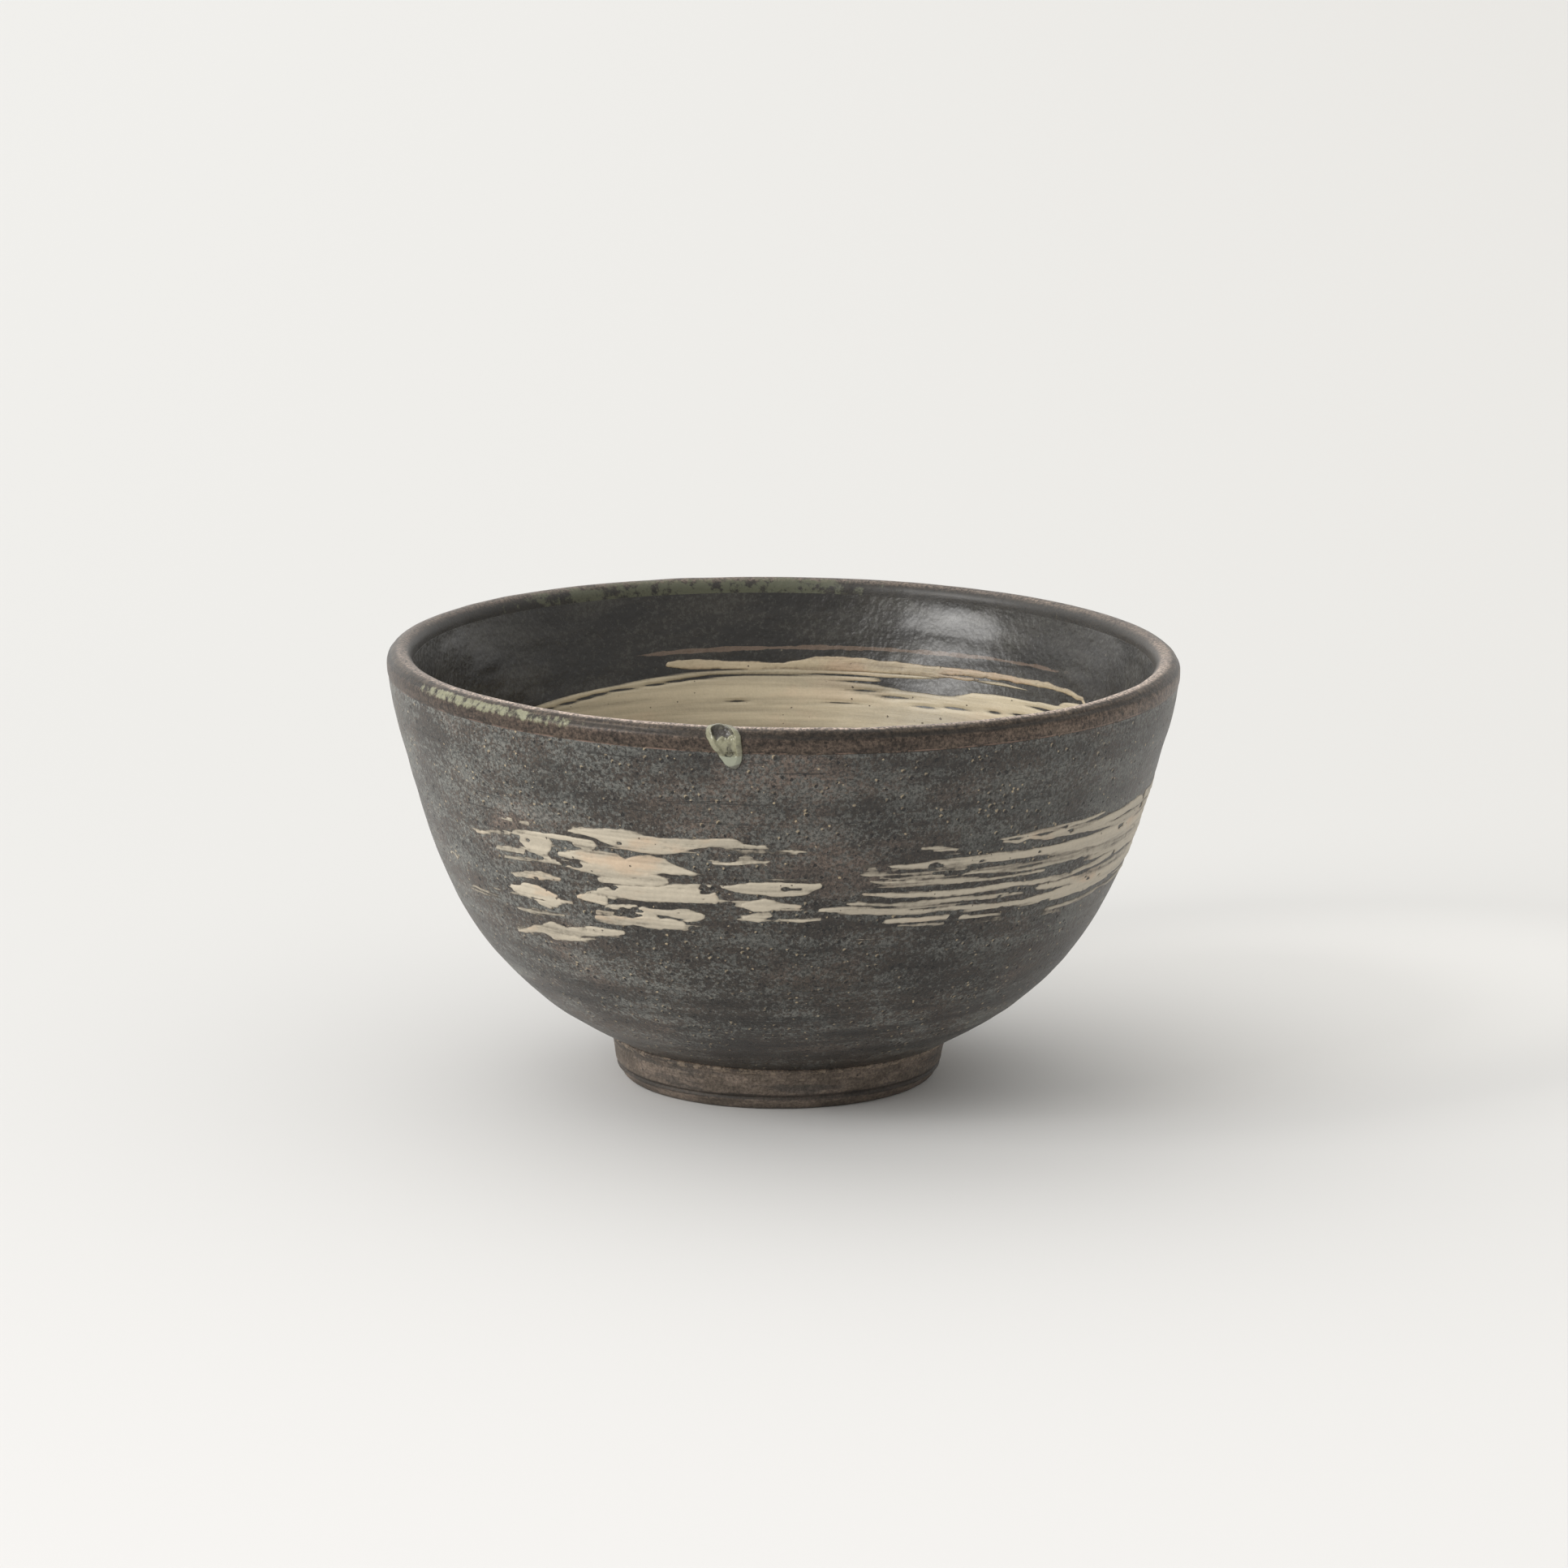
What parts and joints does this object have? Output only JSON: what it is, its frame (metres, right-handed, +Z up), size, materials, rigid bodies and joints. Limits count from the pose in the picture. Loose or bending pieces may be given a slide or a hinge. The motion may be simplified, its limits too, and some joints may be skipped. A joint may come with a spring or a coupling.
{
  "type": "matcha bowl",
  "caption": "Round stoneware tea bowl with a flared wall, rounded lip and turned foot ring, dark glaze and brushed pale slip.",
  "frame": {"origin": "on the table plane under the middle of the bowl's mouth; the foot ring's centre is 0.85 mm to the -X side because the wall leans", "axes": "+Z up out of the mouth; -Y is the front, where the pale bead on the lip and both patches of slip face; +X is the viewer's right, the side that the wall leans to"},
  "size_m": [0.13, 0.1305, 0.0721],
  "materials": {
    "clay": "rough unglazed stoneware",
    "foot_clay": "brown iron-washed stoneware, matt",
    "outer_glaze": "matt slate and charcoal mottle with pinholes and grit",
    "inner_glaze": "dark satin gloss",
    "lip_glaze": "brown satin with a purple cast and pale green flecks",
    "slip": "cream brushed slip, matt, peach where thick",
    "inner_slip": "cream brushed slip under clear glaze",
    "pale_glaze": "celadon glaze bead, glossy"
  },
  "bodies": {
    "root": {"clay_wall": "clay", "foot_ring": "foot_clay", "outer_glaze": "outer_glaze", "inner_glaze": "inner_glaze", "lip_glaze": "lip_glaze", "slip_patch": "slip", "slip_sweep": "slip", "slip_whirl": "inner_slip", "slip_stroke": "inner_slip", "lip_drop": "pale_glaze"}
  },
  "joints": []
}
